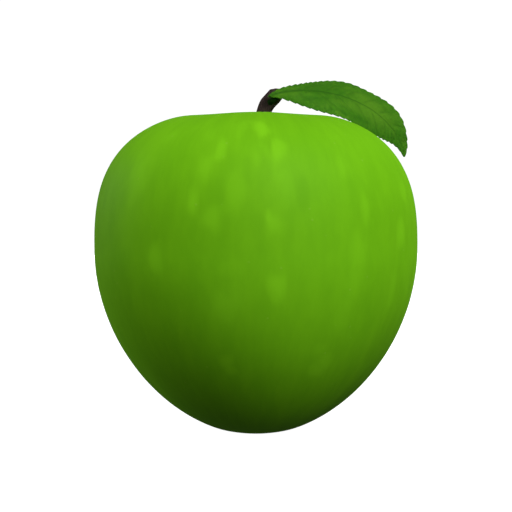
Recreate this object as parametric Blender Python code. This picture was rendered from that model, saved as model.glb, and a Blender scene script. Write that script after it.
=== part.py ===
"""A green apple with its stem, one leaf and its dried calyx.

Units are metres and +Z is up. The origin is on the surface that the apple stands on,
under the middle of the fruit. +X points the way the leaf leans, and the side at -Y is
the front. Heights in the driving dimensions are counted from the waist, which is the
widest level of the fruit, because every piece is placed from there.
"""

import math

import bmesh
import bpy
import numpy as np
from mathutils import Vector

MM = 0.001
FIT_GAP = 0.3 * MM

# Fruit: a round body, full at the crown and narrower at the base
WAIST_RADIUS = 39.0 * MM
CROWN_HEIGHT = 34.16 * MM
CROWN_FULLNESS = 2.80
BASE_HEIGHT = 44.70 * MM
BASE_FULLNESS = 1.873
CAVITY_DEPTH = 16.0 * MM
CAVITY_SPREAD = 9.0 * MM
BASIN_DEPTH = 7.5 * MM
BASIN_SPREAD = 4.4 * MM
STAND_TRIM = 0.22 * MM

# Fruit: the five soft lobes of its core, and a slight unevenness
LOBES = 5
LOBE_TURN = math.radians(-18)
RIM_RADIUS = 17.0 * MM
RIM_SPREAD = 9.0 * MM
RIM_LOBE = 0.20 * MM
STAND_RADIUS = 7.5 * MM
STAND_LOBE = 0.03 * MM
SHOULDER_LOBE = 0.006
OVALNESS = 0.003
OVAL_TURN = math.radians(35)
RIM_LEAN = 0.15 * MM

# Fruit: mesh
FRUIT_SEGMENTS = 64
FRUIT_RINGS = 52
POLE_CROWDING = 0.32

# Stem: centre line from its foot in the fruit to its knob, and its radius along it
STEM_PATH = (
    (0.00 * MM, 0.00 * MM, 14.9 * MM),
    (0.00 * MM, 0.05 * MM, 18.6 * MM),
    (0.35 * MM, 0.20 * MM, 23.4 * MM),
    (0.95 * MM, 0.15 * MM, 29.0 * MM),
    (2.06 * MM, 0.05 * MM, 34.3 * MM),
    (2.70 * MM, 0.00 * MM, 35.8 * MM),
    (3.90 * MM, 0.00 * MM, 37.3 * MM),
    (5.50 * MM, 0.00 * MM, 39.4 * MM),
)
STEM_RADII = (1.50 * MM, 1.50 * MM, 1.42 * MM, 1.45 * MM, 1.69 * MM, 1.75 * MM, 1.84 * MM, 1.94 * MM)
STEM_SIDES = 20
STEM_RINGS = 30
STEM_RIB = 0.05
STEM_END_ROUND = 0.35 * MM
STEM_END_LEVEL = 0.30
SOCKET_RADIUS = 2.0 * MM

# Leaf: the four control points of the midrib, a cubic curve from the stem to the tip
MIDRIB = (
    (3.2 * MM, -4.0 * MM, 37.6 * MM),
    (15.1 * MM, -2.2 * MM, 40.3 * MM),
    (35.1 * MM, 10.6 * MM, 38.1 * MM),
    (37.9 * MM, 11.0 * MM, 23.6 * MM),
)
BLADE_THICKNESS = 0.6 * MM
# Leaf: share of the midrib, half-width of the blade there, and its roll towards the front
BLADE_STATIONS = (0.0, 0.07, 0.20, 0.40, 0.60, 0.80, 0.92, 1.0)
BLADE_HALF_WIDTHS = (0.15 * MM, 0.85 * MM, 2.4 * MM, 6.5 * MM, 6.4 * MM, 4.3 * MM, 1.9 * MM, 0.15 * MM)
ROLL_STATIONS = (0.0, 0.12, 0.30, 0.55, 0.80, 1.0)
ROLL_DEGREES = (84, 59, 44, 52, 72, 76)
BLADE_ARCH = 0.12
BLADE_GROOVE = 0.22 * MM
MIDRIB_RIDGE = 0.45 * MM
MIDRIB_SPREAD = 0.75 * MM
EDGE_WAVE = 0.35 * MM
EDGE_WAVES = 2.6
TEETH = 26
TOOTH_DEPTH = 0.42 * MM
TOOTH_PROFILE = ((0.0, 0.0), (0.45, 0.6), (0.8, 1.0))
BLADE_ACROSS = (0.0, 0.09, 0.22, 0.42, 0.62, 0.82, 1.0)

# Leaf: stalk that carries the blade
STALK_PATH = (
    (2.70 * MM, -2.55 * MM, 35.5 * MM),
    (3.00 * MM, -3.10 * MM, 35.8 * MM),
    (4.00 * MM, -3.50 * MM, 36.6 * MM),
    (5.50 * MM, -3.55 * MM, 37.5 * MM),
    (7.40 * MM, -3.05 * MM, 38.3 * MM),
)
STALK_RADII = (0.80 * MM, 0.76 * MM, 0.70 * MM, 0.62 * MM, 0.48 * MM)
STALK_SIDES = 10
STALK_RINGS = 10

# Calyx: dried cup, five sepals and the stamens, counted from the floor of the basin
CUP_RADIUS = 1.9 * MM
CUP_GAP = 2 * FIT_GAP
CUP_DEPTH = 1.9 * MM
CUP_STEPS = 5
SEPALS = 5
SEPAL_PATH = (
    (1.30 * MM, -1.5 * MM),
    (2.00 * MM, -2.5 * MM),
    (1.65 * MM, -3.6 * MM),
    (2.10 * MM, -4.4 * MM),
    (3.00 * MM, -4.6 * MM),
)
SEPAL_HALF_WIDTHS = (0.85 * MM, 0.95 * MM, 0.75 * MM, 0.50 * MM, 0.12 * MM)
SEPAL_THICKNESS = 0.6 * MM
SEPAL_STEPS = 12
SEPAL_ACROSS = (-1.0, -0.5, 0.0, 0.5, 1.0)
SEPAL_CUPPING = 0.35
STAMENS = 7
STAMEN_RING = 0.75 * MM
STAMEN_RADIUS = 0.26 * MM
STAMEN_LENGTH = 1.9 * MM
STAMEN_ROOT = 0.5 * MM
STAMEN_SIDES = 6


def clear_scene():
    for old in list(bpy.data.objects):
        bpy.data.objects.remove(old, do_unlink=True)


def make_material(name, colour, roughness):
    """A plain finish: its colour is in linear light."""
    material = bpy.data.materials.new(name)
    material.use_nodes = True
    shader = material.node_tree.nodes["Principled BSDF"]
    shader.inputs["Base Color"].default_value = (*colour, 1.0)
    shader.inputs["Roughness"].default_value = roughness
    shader.inputs["Metallic"].default_value = 0.0
    return material


def make_object(name, points, faces, material, smooth_angle):
    """One closed mesh from points and faces, with faces out and shaded smooth."""
    mesh = bpy.data.meshes.new(name)
    mesh.from_pydata([tuple(map(float, point)) for point in points], [], faces)
    shape = bmesh.new()
    shape.from_mesh(mesh)
    bmesh.ops.recalc_face_normals(shape, faces=shape.faces)
    shape.to_mesh(mesh)
    shape.free()
    mesh.shade_smooth()
    mesh.set_sharp_from_angle(angle=smooth_angle)
    mesh.materials.append(material)
    placed = bpy.data.objects.new(name, mesh)
    bpy.context.scene.collection.objects.link(placed)
    return placed


def join_by_union(body, extras):
    """Fuse extra shapes into a body as one solid."""
    group = bpy.data.collections.new(body.name + "_extras")
    bpy.context.scene.collection.children.link(group)
    for extra in extras:
        bpy.context.scene.collection.objects.unlink(extra)
        group.objects.link(extra)
    union = body.modifiers.new("union", "BOOLEAN")
    union.operation = "UNION"
    union.operand_type = "COLLECTION"
    union.collection = group
    union.solver = "EXACT"
    bpy.context.view_layer.objects.active = body
    bpy.ops.object.modifier_apply(modifier=union.name)
    for extra in extras:
        bpy.data.objects.remove(extra, do_unlink=True)
    bpy.data.collections.remove(group)


def hump(distance, spread):
    """A soft bump: 1 at no distance, fading over the spread."""
    return np.exp(-(distance / spread) ** 2)


def smooth_through(stations, values, at):
    """Values read along a smooth curve through the stations, for scalars or points."""
    stations = np.asarray(stations, dtype=float)
    values = np.asarray(values, dtype=float)
    at = np.clip(np.asarray(at, dtype=float), stations[0], stations[-1])
    flat = values.reshape(len(stations), -1)
    slopes = np.gradient(flat, stations, axis=0)
    cell = np.clip(np.searchsorted(stations, at, side="right") - 1, 0, len(stations) - 2)
    width = (stations[cell + 1] - stations[cell])[:, None]
    t = (at - stations[cell])[:, None] / width
    start = flat[cell] * (1 + 2 * t) * (1 - t) ** 2 + flat[cell + 1] * t ** 2 * (3 - 2 * t)
    pull = slopes[cell] * t * (1 - t) ** 2 - slopes[cell + 1] * t ** 2 * (1 - t)
    result = start + width * pull
    return result.reshape((len(at),) + values.shape[1:])


def along_path(path):
    """Share of the length at each point of a path."""
    steps = np.linalg.norm(np.diff(np.asarray(path), axis=0), axis=1)
    return np.concatenate([[0.0], np.cumsum(steps)]) / steps.sum()


def unit(vectors):
    return vectors / np.linalg.norm(vectors, axis=-1, keepdims=True)


def grid_faces(rows, columns):
    """Quads of a grid of points, row by row, with its last column joined to its first."""
    faces = []
    for row in range(rows - 1):
        for column in range(columns):
            here = row * columns + column
            beside = row * columns + (column + 1) % columns
            faces.append((here, beside, beside + columns, here + columns))
    return faces


def fan_faces(centre, ring):
    """Triangles from a centre point to a ring of points."""
    count = len(ring)
    return [(centre, ring[i], ring[(i + 1) % count]) for i in range(count)]


def skin(angle, tilt):
    """Points of the fruit's surface, with heights from the waist.

    angle goes round the axis from +X, and tilt from -90 degrees in the basin to +90
    degrees in the cavity.
    """
    upper = tilt >= 0
    height = np.where(upper, CROWN_HEIGHT, BASE_HEIGHT)
    fullness = np.where(upper, CROWN_FULLNESS, BASE_FULLNESS)
    across = np.abs(np.cos(tilt)) / WAIST_RADIUS
    upward = np.abs(np.sin(tilt)) / height
    reach = (across ** fullness + upward ** fullness) ** (-1 / fullness)
    radius = reach * np.cos(tilt)
    rise = reach * np.sin(tilt)
    cavity = CAVITY_DEPTH * hump(radius, CAVITY_SPREAD)
    basin = BASIN_DEPTH * hump(radius, BASIN_SPREAD)
    rise = rise + np.where(upper, -cavity, basin)

    lobes = np.cos(LOBES * (angle - LOBE_TURN))
    rim = hump(radius - RIM_RADIUS, RIM_SPREAD)
    stand = hump(radius - STAND_RADIUS, BASIN_SPREAD)
    crown_rise = rim * (RIM_LOBE * lobes + RIM_LEAN * np.sin(angle))
    rise = rise + np.where(upper, crown_rise, -STAND_LOBE * stand * lobes)
    shoulder = np.clip(np.sin(tilt), 0, 1)
    swell = 1 + SHOULDER_LOBE * shoulder * lobes + OVALNESS * np.cos(2 * (angle - OVAL_TURN))
    radius = radius * swell
    return np.stack([radius * np.cos(angle), radius * np.sin(angle), rise], axis=-1)


def tilt_at_radius(target):
    """Tilt in the cavity at which the skin comes in to a radius."""
    low, high = math.radians(60), math.radians(90)
    for _ in range(40):
        middle = (low + high) / 2
        point = skin(np.array([0.0]), np.array([middle]))[0]
        if point[0] > target:
            low = middle
        else:
            high = middle
    return low


def fruit_tilts():
    """Tilts of the rings from the basin to the lip of the stem's socket, closer near the poles."""
    share = np.linspace(0, 1, FRUIT_RINGS + 1)[1:]
    tilts = math.pi * (share - 0.5) - POLE_CROWDING * np.sin(2 * math.pi * share)
    lip = tilt_at_radius(SOCKET_RADIUS)
    kept = tilts[tilts < lip - math.radians(1)]
    return np.append(kept, lip)


def stand_level():
    """Height of the surface that the fruit stands on, below the waist."""
    angles = np.linspace(0, 2 * math.pi, 120, endpoint=False)
    tilts = np.radians(np.linspace(-90, -45, 180))
    grid_angle, grid_tilt = np.meshgrid(angles, tilts)
    return float(skin(grid_angle, grid_tilt)[..., 2].min()) + STAND_TRIM


def make_fruit(waist_level, material):
    """The whole flesh and skin in one solid, with the cavity, the stem's socket and the basin."""
    angles = np.linspace(0, 2 * math.pi, FRUIT_SEGMENTS, endpoint=False)
    tilts = fruit_tilts()
    grid_tilt, grid_angle = np.meshgrid(tilts, angles, indexing="ij")
    rings = skin(grid_angle, grid_tilt)
    lowest = -waist_level
    rings[..., 2] = np.maximum(rings[..., 2], lowest)
    middle = (rings[..., :2].max(axis=(0, 1)) + rings[..., :2].min(axis=(0, 1))) / 2
    shift = np.zeros(3)
    shift[:2] = -middle
    rings = rings + shift
    lip = rings[-1]
    socket = lip.copy()
    socket[:, 2] = STEM_PATH[0][2] - FIT_GAP
    basin_floor = skin(np.array([0.0]), np.array([-math.pi / 2]))[0] + shift
    socket_floor = np.array([0.0, 0.0, STEM_PATH[0][2] - FIT_GAP]) + shift

    wall = np.concatenate([rings, socket[None]]).reshape(-1, 3)
    points = np.concatenate([wall, [basin_floor, socket_floor]])
    points[:, 2] += waist_level
    row_count = len(tilts) + 1
    faces = grid_faces(row_count, FRUIT_SEGMENTS)
    first_ring = list(range(FRUIT_SEGMENTS))
    last_ring = [(row_count - 1) * FRUIT_SEGMENTS + i for i in range(FRUIT_SEGMENTS)]
    faces += fan_faces(len(wall), first_ring)
    faces += fan_faces(len(wall) + 1, last_ring)
    return make_object("fruit", points, faces, material, math.radians(60))


def sweep(path, radii, sides, rings, rib=0.0, end_round=0.0, end_level=0.0):
    """A round closed tube along a smooth path, with its ends capped and its far end rounded.

    Over the last end_level share of the length its rings turn level, as on a stalk that
    was snapped off.
    """
    stations = along_path(path)
    share = np.linspace(0, 1, rings)
    centres = smooth_through(stations, path, share)
    sizes = smooth_through(stations, radii, share)
    headings = unit(np.gradient(centres, axis=0))
    if end_level:
        turned = np.clip((share - 1 + end_level) / end_level, 0, 1)[:, None]
        headings = unit(headings * (1 - turned) + np.array([0.0, 0.0, 1.0]) * turned)
    side = Vector((0.0, 1.0, 0.0))
    points = []
    for centre, size, heading in zip(centres, sizes, headings):
        forward = Vector(heading)
        side = (side - forward * side.dot(forward)).normalized()
        other = forward.cross(side)
        for i in range(sides):
            turn = 2 * math.pi * i / sides
            reach = size * (1 + rib * math.cos(3 * turn + 1.0) + rib * 0.6 * math.cos(5 * turn))
            points.append(Vector(centre) + side * (reach * math.cos(turn)) + other * (reach * math.sin(turn)))
    start_cap = len(points)
    points.append(Vector(centres[0]))
    end_cap = len(points)
    points.append(Vector(centres[-1]) + Vector(headings[-1]) * end_round)
    faces = grid_faces(rings, sides)
    faces += fan_faces(start_cap, list(range(sides)))
    faces += fan_faces(end_cap, [(rings - 1) * sides + i for i in range(sides)])
    return points, faces


def raised(path, level):
    """A path moved up by a level."""
    return [(x, y, z + level) for x, y, z in path]


def make_stem(waist_level, material):
    path = raised(STEM_PATH, waist_level)
    points, faces = sweep(
        path, STEM_RADII, STEM_SIDES, STEM_RINGS, STEM_RIB, STEM_END_ROUND, STEM_END_LEVEL
    )
    return make_object("stem", points, faces, material, math.radians(50))


def thick_sheet(upper, lower):
    """Points and triangles of a closed sheet from two grids, split alike on both faces."""
    rows, columns = upper.shape[:2]
    points = np.concatenate([upper.reshape(-1, 3), lower.reshape(-1, 3)])
    under = rows * columns
    faces = []
    for row in range(rows - 1):
        for column in range(columns - 1):
            a = row * columns + column
            b, c, d = a + 1, a + columns + 1, a + columns
            faces += [(a, b, c), (a, c, d)]
            faces += [(a + under, c + under, b + under), (a + under, d + under, c + under)]
    first_row = list(range(columns))
    last_row = [(rows - 1) * columns + column for column in range(columns)]
    left = [row * columns for row in range(rows)]
    right = [row * columns + columns - 1 for row in range(rows)]
    for border in (first_row, last_row, left, right):
        for here, beside in zip(border, border[1:]):
            faces += [(here, beside, beside + under), (here, beside + under, here + under)]
    return points, faces


def midrib_curve(share):
    """Points and headings of the midrib, with heights from the waist."""
    a, b, c, d = np.array(MIDRIB)
    t = share[:, None]
    points = a * (1 - t) ** 3 + 3 * b * t * (1 - t) ** 2 + 3 * c * t ** 2 * (1 - t) + d * t ** 3
    headings = (b - a) * (1 - t) ** 2 + 2 * (c - b) * t * (1 - t) + (d - c) * t ** 2
    return points, unit(headings)


def blade_rows():
    """Stations along the midrib, three to a tooth, and how far the tooth stands out at each."""
    stations = []
    stand_out = []
    for tooth in range(TEETH):
        for part, reach in TOOTH_PROFILE:
            stations.append((tooth + part) / TEETH)
            stand_out.append(reach)
    stations.append(1.0)
    stand_out.append(0.0)
    return np.array(stations), np.array(stand_out)


def blade_faces():
    """Grids of points of the blade's upper and lower face."""
    share, stand_out = blade_rows()
    midrib, heading = midrib_curve(share)
    level_side = unit(np.cross(heading, [0.0, 0.0, 1.0]))
    level_up = np.cross(level_side, heading)
    roll = np.radians(smooth_through(ROLL_STATIONS, ROLL_DEGREES, share))[:, None]
    towards = level_side * np.cos(roll) - level_up * np.sin(roll)
    normal = np.cross(towards, heading)
    half_width = smooth_through(BLADE_STATIONS, BLADE_HALF_WIDTHS, share)
    tooth = stand_out * TOOTH_DEPTH * np.minimum(half_width / (2 * MM), 1)

    upper = []
    lower = []
    for across in [-v for v in BLADE_ACROSS[:0:-1]] + list(BLADE_ACROSS):
        side = math.copysign(1, across) if across else 0
        reach = half_width * across + (tooth * side if abs(across) == 1 else 0)
        ripple = np.sin(2 * math.pi * EDGE_WAVES * share + side) * np.sin(math.pi * share)
        wave = EDGE_WAVE * across ** 2 * ripple
        groove = BLADE_GROOVE * hump(reach, MIDRIB_SPREAD)
        drop = BLADE_ARCH * half_width * across ** 2 + groove - wave
        ridge = MIDRIB_RIDGE * hump(reach, MIDRIB_SPREAD) * (1 - share)
        centre = midrib + towards * reach[:, None] - normal * drop[:, None]
        upper.append(centre + normal * (BLADE_THICKNESS / 2))
        lower.append(centre - normal * (BLADE_THICKNESS / 2 + ridge)[:, None])
    return np.stack(upper, axis=1), np.stack(lower, axis=1)


def make_leaf(waist_level, material):
    """The blade with its saw-toothed edge, fused to its stalk."""
    points, faces = thick_sheet(*blade_faces())
    points[:, 2] += waist_level
    blade = make_object("leaf", points, faces, material, math.radians(40))
    stalk_points, stalk_faces = sweep(raised(STALK_PATH, waist_level), STALK_RADII, STALK_SIDES, STALK_RINGS)
    stalk = make_object("leaf_stalk", stalk_points, stalk_faces, material, math.radians(40))
    join_by_union(blade, [stalk])
    return blade


def make_sepal(turn, cup_top, material):
    """One dried sepal, which hangs from the cup and curls outwards at its tip."""
    share = np.linspace(0, 1, SEPAL_STEPS)
    stations = along_path(SEPAL_PATH)
    spine = smooth_through(stations, SEPAL_PATH, share)
    half_width = smooth_through(stations, SEPAL_HALF_WIDTHS, share)
    heading = unit(np.gradient(spine, axis=0))
    outward = np.stack([-heading[:, 1], heading[:, 0]], axis=-1)
    radial = np.array([math.cos(turn), math.sin(turn), 0.0])
    sideways = np.array([-math.sin(turn), math.cos(turn), 0.0])
    upward = np.array([0.0, 0.0, 1.0])
    grids = ([], [])
    for across in SEPAL_ACROSS:
        for grid, half in zip(grids, (SEPAL_THICKNESS / 2, -SEPAL_THICKNESS / 2)):
            offset = half - SEPAL_CUPPING * half_width * across ** 2
            rise = spine[:, 1] + outward[:, 1] * offset + cup_top
            reach = spine[:, 0] + outward[:, 0] * offset
            row = radial * reach[:, None] + upward * rise[:, None] + sideways * (half_width * across)[:, None]
            grid.append(row)
    points, faces = thick_sheet(np.stack(grids[0], axis=1), np.stack(grids[1], axis=1))
    return make_object("sepal", points, faces, material, math.radians(40))


def make_stamen(index, cup_top, material):
    """One dried stamen, which leans outwards a little."""
    turn = 2 * math.pi * index / STAMENS + 0.4
    top = cup_top - CUP_DEPTH + STAMEN_ROOT
    length = STAMEN_LENGTH * (0.8 + 0.2 * math.cos(2.4 * index))
    foot = (STAMEN_RING * math.cos(turn), STAMEN_RING * math.sin(turn), top)
    tip = (1.25 * foot[0], 1.25 * foot[1], top - length)
    points, faces = sweep([foot, tip], [STAMEN_RADIUS, STAMEN_RADIUS], STAMEN_SIDES, 3)
    return make_object("stamen", points, faces, material, math.radians(40))


def make_calyx(waist_level, material):
    """The dried remains of the flower in the basin, a gap below the skin."""
    angles = np.linspace(0, 2 * math.pi, 24, endpoint=False)
    basin_top = float(skin(np.array([0.0]), np.array([-math.pi / 2]))[0][2]) + waist_level
    radii = CUP_RADIUS * np.linspace(1, 1 / CUP_STEPS, CUP_STEPS)
    rings = []
    for radius in radii:
        sink = BASIN_DEPTH * (1 - hump(radius, BASIN_SPREAD))
        rings.append((radius, basin_top - sink - CUP_GAP))
    rings = rings[::-1]
    for radius in radii:
        rings.append((radius * 0.96, basin_top - CUP_DEPTH - 0.25 * radius))
    points = [(r * math.cos(a), r * math.sin(a), z) for r, z in rings for a in angles]
    top_centre = len(points)
    points.append((0.0, 0.0, basin_top - CUP_GAP))
    bottom_centre = len(points)
    points.append((0.0, 0.0, basin_top - CUP_DEPTH))
    faces = grid_faces(len(rings), len(angles))
    faces += fan_faces(top_centre, list(range(len(angles))))
    faces += fan_faces(bottom_centre, [(len(rings) - 1) * len(angles) + i for i in range(len(angles))])
    cup = make_object("calyx", points, faces, material, math.radians(40))
    extras = [make_sepal(2 * math.pi * i / SEPALS + LOBE_TURN, basin_top, material) for i in range(SEPALS)]
    extras += [make_stamen(i, basin_top, material) for i in range(STAMENS)]
    join_by_union(cup, extras)
    return cup


def main():
    clear_scene()
    green_skin = make_material("green_skin", (0.20, 0.54, 0.012), 0.48)
    leaf_green = make_material("leaf_green", (0.058, 0.190, 0.012), 0.55)
    brown_wood = make_material("brown_wood", (0.034, 0.020, 0.020), 0.75)
    dried_calyx = make_material("dried_calyx", (0.09, 0.06, 0.03), 0.85)
    waist_level = -stand_level()
    make_fruit(waist_level, green_skin)
    make_stem(waist_level, brown_wood)
    make_leaf(waist_level, leaf_green)
    make_calyx(waist_level, dried_calyx)


main()
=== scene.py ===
# %% [markdown]
# # A green apple with its stem, one leaf and its dried calyx
#
# The apple's plain solids are already there at their real size, and they never move. This
# lesson dresses them: a smooth skin with its soft pale patches, a woody stem, a leaf with
# veins and a saw-toothed edge, and the dried remains of the flower in the basin below.
# Every piece is worked out in metres in the solids' own place, so nothing is fitted by eye.

import math

import bpy
import numpy as np
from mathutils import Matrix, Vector, noise
from mathutils.bvhtree import BVHTree


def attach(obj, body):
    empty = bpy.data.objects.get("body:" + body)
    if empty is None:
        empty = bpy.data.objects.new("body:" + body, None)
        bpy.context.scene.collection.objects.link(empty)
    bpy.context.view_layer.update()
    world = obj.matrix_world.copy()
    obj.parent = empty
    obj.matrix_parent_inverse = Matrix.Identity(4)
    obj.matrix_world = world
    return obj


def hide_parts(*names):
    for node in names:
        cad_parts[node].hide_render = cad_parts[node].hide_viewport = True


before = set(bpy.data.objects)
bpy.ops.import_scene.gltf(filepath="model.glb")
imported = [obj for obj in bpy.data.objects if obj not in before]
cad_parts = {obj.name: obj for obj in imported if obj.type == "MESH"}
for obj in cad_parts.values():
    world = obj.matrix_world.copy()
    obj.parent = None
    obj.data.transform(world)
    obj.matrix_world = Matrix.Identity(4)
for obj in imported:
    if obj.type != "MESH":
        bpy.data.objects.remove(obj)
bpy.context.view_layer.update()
MM = 0.001


# %% [markdown]
# ## Node maths as plain expressions
#
# A finish or a rule in nodes soon needs dozens of Math nodes. They could be added one by one,
# but then nobody can read the formula. Here a small class wraps a node's output, and Python's
# own operators add the Math nodes, so that a formula reads the same as it does on paper.

# %% A wrapped socket
def socket_first(operation):
    """A method that adds a Math node, with the socket before the operator."""
    return lambda self, other: self.graph.math(operation, self, other)


def socket_second(operation):
    """A method that adds a Math node, with the socket after the operator."""
    return lambda self, other: self.graph.math(operation, other, self)


class Socket:
    """One output of a node. Arithmetic on it adds Math nodes."""

    def __init__(self, graph, output):
        self.graph = graph
        self.output = output

    def __neg__(self):
        return self.graph.math("MULTIPLY", self, -1.0)

    __add__ = socket_first("ADD")
    __radd__ = socket_second("ADD")
    __sub__ = socket_first("SUBTRACT")
    __rsub__ = socket_second("SUBTRACT")
    __mul__ = socket_first("MULTIPLY")
    __rmul__ = socket_second("MULTIPLY")
    __truediv__ = socket_first("DIVIDE")
    __rtruediv__ = socket_second("DIVIDE")
    __pow__ = socket_first("POWER")


# %% A node graph
class Graph:
    """A node tree in which one method makes any node."""

    def __init__(self, tree):
        self.tree = tree

    def node(self, kind, settings=None, values=None, output=0):
        """Make a node: first its settings, then its inputs by name or number."""
        made = self.tree.nodes.new(kind)
        for name, value in (settings or {}).items():
            setattr(made, name, value)
        values = values or {}
        pairs = values.items() if isinstance(values, dict) else enumerate(values)
        for key, value in pairs:
            if isinstance(value, Socket):
                self.tree.links.new(value.output, made.inputs[key])
            else:
                made.inputs[key].default_value = value
        if not made.outputs:
            return None
        if isinstance(output, (tuple, list)):
            return [Socket(self, made.outputs[name]) for name in output]
        return Socket(self, made.outputs[output])

    def math(self, operation, *values):
        return self.node("ShaderNodeMath", {"operation": operation}, values)

    def vector(self, x, y, z):
        return self.node("ShaderNodeCombineXYZ", values=[x, y, z])

    def split(self, vector):
        return self.node("ShaderNodeSeparateXYZ", values=[vector], output=("X", "Y", "Z"))

    def vector_math(self, operation, *values, output=0):
        return self.node("ShaderNodeVectorMath", {"operation": operation}, values, output)

    def scaled(self, vector, share):
        """A vector times a number."""
        values = {"Vector": vector, "Scale": share}
        return self.node("ShaderNodeVectorMath", {"operation": "SCALE"}, values)

    def added(self, *vectors):
        """The sum of several vectors."""
        total = vectors[0]
        for vector in vectors[1:]:
            total = self.vector_math("ADD", total, vector)
        return total

    def smooth(self, value, start, end):
        """Goes softly from 0 to 1 while the value goes from start to end."""
        values = {"Value": value, "From Min": start, "From Max": end}
        return self.node("ShaderNodeMapRange", {"interpolation_type": "SMOOTHSTEP"}, values)

    def hump(self, distance, spread):
        """A soft bump: 1 at no distance, fading over the spread."""
        share = distance / spread
        return self.math("EXPONENT", -(share * share))

    def noise(self, place, scale, detail=3.0, roughness=0.5):
        values = {"Vector": place, "Scale": scale, "Detail": detail, "Roughness": roughness}
        return self.node("ShaderNodeTexNoise", values=values)

    def mottling(self, place, scale, detail=3.0, roughness=0.5, limits=(0.35, 0.65)):
        """Noise with more contrast: 0 below the first limit, 1 above the second."""
        return self.smooth(self.noise(place, scale, detail, roughness), *limits)

    def attribute(self, name):
        """A number that the mesh carries on its points."""
        return self.node("ShaderNodeAttribute", {"attribute_name": name}, output="Fac")


# %% A geometry tree that makes one piece
def new_object(name, data):
    """An object in the scene with a mesh, curve, camera or lamp."""
    made = bpy.data.objects.new(name, data)
    bpy.context.scene.collection.objects.link(made)
    return made


class PieceTree(Graph):
    """A Geometry Nodes tree with named inputs for a piece's sizes."""

    def __init__(self, name, sizes):
        super().__init__(bpy.data.node_groups.new(name, "GeometryNodeTree"))
        self.tree.is_modifier = True
        ports = self.tree.interface
        ports.new_socket("Geometry", in_out="OUTPUT", socket_type="NodeSocketGeometry")
        ports.new_socket("Geometry", in_out="INPUT", socket_type="NodeSocketGeometry")
        self.settings = []
        for label, value in sizes.items():
            kind = "NodeSocketInt" if isinstance(value, int) else "NodeSocketFloat"
            port = ports.new_socket(label, in_out="INPUT", socket_type=kind)
            self.settings.append((port.identifier, value))
        self.entry = self.tree.nodes.new("NodeGroupInput")

    def size(self, label):
        return Socket(self, self.entry.outputs[label])

    def carried(self):
        """The geometry of the object that carries the tree, such as a path."""
        return Socket(self, self.entry.outputs["Geometry"])

    def coordinates(self):
        """Where each point is before it is moved."""
        return self.split(self.node("GeometryNodeInputPosition"))

    def move(self, geometry, position):
        """The geometry with each of its points at a new position."""
        values = {"Geometry": geometry, "Position": position}
        return self.node("GeometryNodeSetPosition", values=values)

    def shift(self, geometry, height):
        """The geometry moved up by a height."""
        values = {"Geometry": geometry, "Translation": (0.0, 0.0, height)}
        return self.node("GeometryNodeTransform", values=values)

    def close(self, geometry, material):
        """End the tree: real geometry with its finish on it."""
        real = self.node("GeometryNodeRealizeInstances", values=[geometry])
        rounded = self.node("GeometryNodeSetShadeSmooth", values=[real])
        values = {"Geometry": rounded, "Material": material}
        finished = self.node("GeometryNodeSetMaterial", values=values)
        leave = self.tree.nodes.new("NodeGroupOutput")
        self.tree.links.new(finished.output, leave.inputs[0])

    def make(self, name, carrier=None):
        """Run the tree once on a carrier, and keep its result as a plain mesh."""
        if carrier is None:
            carrier = new_object(name + "_carrier", bpy.data.meshes.new(name + "_carrier"))
        modifier = carrier.modifiers.new("shape", "NODES")
        modifier.node_group = self.tree
        for identifier, value in self.settings:
            modifier[identifier] = value
        evaluated = carrier.evaluated_get(bpy.context.evaluated_depsgraph_get())
        mesh = bpy.data.meshes.new_from_object(evaluated)
        carrier.modifiers.remove(modifier)
        bpy.data.objects.remove(carrier, do_unlink=True)
        mesh.name = name
        return new_object(name, mesh)


# %% [markdown]
# ## Reading and measuring meshes
#
# Some values are simpler to work out point by point with numpy, and each piece is measured
# against the solid that it stands for, so the lesson prints how close the two are.

# %% Points of a mesh, and distances to a solid
MEASURED_POINTS = 4000


def points_of(thing):
    """A mesh object's points in metres, one row each."""
    flat = np.empty(len(thing.data.vertices) * 3)
    thing.data.vertices.foreach_get("co", flat)
    return flat.reshape(-1, 3)


def add_attribute(thing, name, values):
    """Keep one number for each point, which a finish can read."""
    attribute = thing.data.attributes.new(name, "FLOAT", "POINT")
    attribute.data.foreach_set("value", np.asarray(values, dtype=np.float32))


def report_piece(thing, node):
    """Print a piece's size, and how far its points are from its solid."""
    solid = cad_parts[node].data
    corners = [vertex.co for vertex in solid.vertices]
    tree = BVHTree.FromPolygons(corners, [face.vertices for face in solid.polygons])
    points = points_of(thing)
    sample = points[:: max(1, len(points) // MEASURED_POINTS)]
    gaps = np.array([tree.find_nearest(Vector(point))[3] for point in sample]) / MM
    triangles = sum(len(face.vertices) - 2 for face in thing.data.polygons)
    print(
        f"{thing.name}: {triangles} triangles, from solid {node}:",
        f"typical {np.median(gaps):.2f} mm, most {gaps.max():.2f} mm",
    )


# %% Rows of sizes, and smooth curves through stations
def mm(*values):
    """Sizes in millimetres as metres: one row of numbers, or a row for each point."""
    return np.array(values) * MM


def smooth_through(stations, values, at):
    """Values read along a smooth curve through the stations, for numbers or points."""
    stations = np.asarray(stations, dtype=float)
    values = np.asarray(values, dtype=float)
    at = np.clip(np.asarray(at, dtype=float), stations[0], stations[-1])
    flat = values.reshape(len(stations), -1)
    slopes = np.gradient(flat, stations, axis=0)
    cell = np.clip(np.searchsorted(stations, at, side="right") - 1, 0, len(stations) - 2)
    width = (stations[cell + 1] - stations[cell])[:, None]
    t = (at - stations[cell])[:, None] / width
    start = flat[cell] * (1 + 2 * t) * (1 - t) ** 2 + flat[cell + 1] * t ** 2 * (3 - 2 * t)
    pull = slopes[cell] * t * (1 - t) ** 2 - slopes[cell + 1] * t ** 2 * (1 - t)
    return (start + width * pull).reshape((len(at),) + values.shape[1:])


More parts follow.
